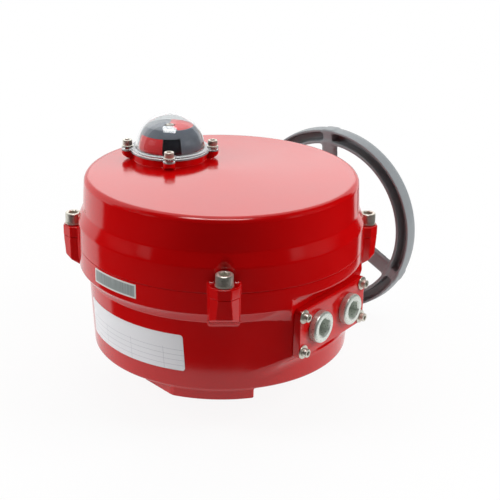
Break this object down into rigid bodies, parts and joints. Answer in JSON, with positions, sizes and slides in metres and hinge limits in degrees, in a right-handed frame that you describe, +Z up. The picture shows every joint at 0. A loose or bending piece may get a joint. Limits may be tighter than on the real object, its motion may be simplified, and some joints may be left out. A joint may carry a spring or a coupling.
{
  "type": "motorized valve actuator",
  "caption": "Quarter-turn motorized valve actuator: round cast housing with a clear position dome, worm drive, manual handwheel and plugged conduit entries.",
  "frame": {"origin": "on the output axis at the valve mounting face", "axes": "+Z up along the output axis, +X out of the conduit face, +Y out along the handwheel axis"},
  "size_m": [0.296, 0.403, 0.2765],
  "materials": {
    "red_powder_coat": "gloss red powder coat on cast aluminium",
    "stainless": "turned stainless steel",
    "zinc_plated_steel": "bright zinc plate",
    "clear_polycarbonate": "clear moulded polycarbonate",
    "black_rubber": "matt black rubber",
    "dark_plastic": "dark grey moulded plastic",
    "pale_plastic": "pale moulded plastic",
    "machined_steel": "machined steel",
    "bronze": "machined bronze",
    "bare_aluminium": "bare cast aluminium",
    "grey_cast_wheel": "satin grey paint on cast aluminium"
  },
  "bodies": {
    "housing": {"base_housing": "red_powder_coat", "cover": "red_powder_coat", "cover_gasket": "black_rubber", "cover_screws": "stainless", "cover_washers": "stainless", "indicator_dome": "clear_polycarbonate", "dome_gasket": "black_rubber", "dome_screws": "stainless", "dome_washers": "stainless", "shaft_seal": "black_rubber", "lower_bush": "bronze", "upper_bush": "bronze", "thrust_washer": "bronze", "output_seal": "black_rubber", "stop_pins": "machined_steel", "bearing_bridge": "bare_aluminium", "bridge_screws": "stainless", "worm_bearings": "machined_steel", "motor_body": "bare_aluminium", "motor_end_bells": "bare_aluminium", "motor_bracket": "machined_steel", "motor_screws": "stainless", "bracket_screws": "stainless", "capacitor": "pale_plastic", "switch_bracket": "machined_steel", "limit_switches": "dark_plastic", "terminal_strip": "pale_plastic", "conduit_gasket": "black_rubber", "conduit_plate": "red_powder_coat", "plate_screws": "stainless", "plate_washers": "stainless", "conduit_plugs": "zinc_plated_steel", "plug_seals": "black_rubber", "hand_bush": "bronze", "hand_seal": "black_rubber"},
    "output_drive": {"drive_sleeve": "machined_steel", "worm_wheel": "bronze", "wheel_key": "machined_steel", "wheel_locknut": "machined_steel", "indicator_shaft": "machined_steel", "open_cam": "dark_plastic", "close_cam": "dark_plastic", "indicator_drum": "dark_plastic", "indicator_screw": "stainless"},
    "worm_train": {"worm_shaft": "machined_steel", "worm": "machined_steel", "spur_gear": "machined_steel", "clutch_dog": "machined_steel"},
    "motor_rotor": {"motor_shaft": "machined_steel", "motor_pinion": "machined_steel"},
    "hand_sleeve_unit": {"hand_sleeve": "machined_steel", "sleeve_clip": "machined_steel"},
    "handwheel_unit": {"hand_shaft": "machined_steel", "handwheel": "grey_cast_wheel", "handwheel_washer": "stainless", "handwheel_nut": "stainless"},
    "open_switch_plunger": {"open_plunger": "pale_plastic"},
    "close_switch_plunger": {"close_plunger": "pale_plastic"}
  },
  "joints": [
    {"name": "output_turn", "type": "hinge", "parent": "housing", "child": "output_drive", "pos_m": [0, 0, 0.075], "axis": [0, 0, 1], "range_deg": [0, 90]},
    {"name": "worm_spin", "type": "hinge", "parent": "housing", "child": "worm_train", "pos_m": [0.062, 0, 0.075], "axis": [0, 1, 0], "range_deg": [-3425, 5]},
    {"name": "motor_spin", "type": "hinge", "parent": "housing", "child": "motor_rotor", "pos_m": [0.118, 0, 0.075], "axis": [0, 1, 0], "range_deg": [-10, 8560]},
    {"name": "handwheel_spin", "type": "hinge", "parent": "housing", "child": "hand_sleeve_unit", "pos_m": [0.062, 0, 0.075], "axis": [0, 1, 0], "continuous": true},
    {"name": "handwheel_push", "type": "slide", "parent": "hand_sleeve_unit", "child": "handwheel_unit", "axis": [0, -1, 0], "range_m": [0, 0.01]},
    {"name": "open_switch_press", "type": "slide", "parent": "housing", "child": "open_switch_plunger", "axis": [0, 1, 0], "range_m": [0, 0.0015], "stiffness_N_per_m": 400},
    {"name": "close_switch_press", "type": "slide", "parent": "housing", "child": "close_switch_plunger", "axis": [0, 1, 0], "range_m": [0, 0.0015], "stiffness_N_per_m": 400}
  ],
  "couplings": [
    {"joint": "worm_spin", "follows": "output_turn", "ratio": -38},
    {"joint": "motor_spin", "follows": "output_turn", "ratio": 95}
  ]
}
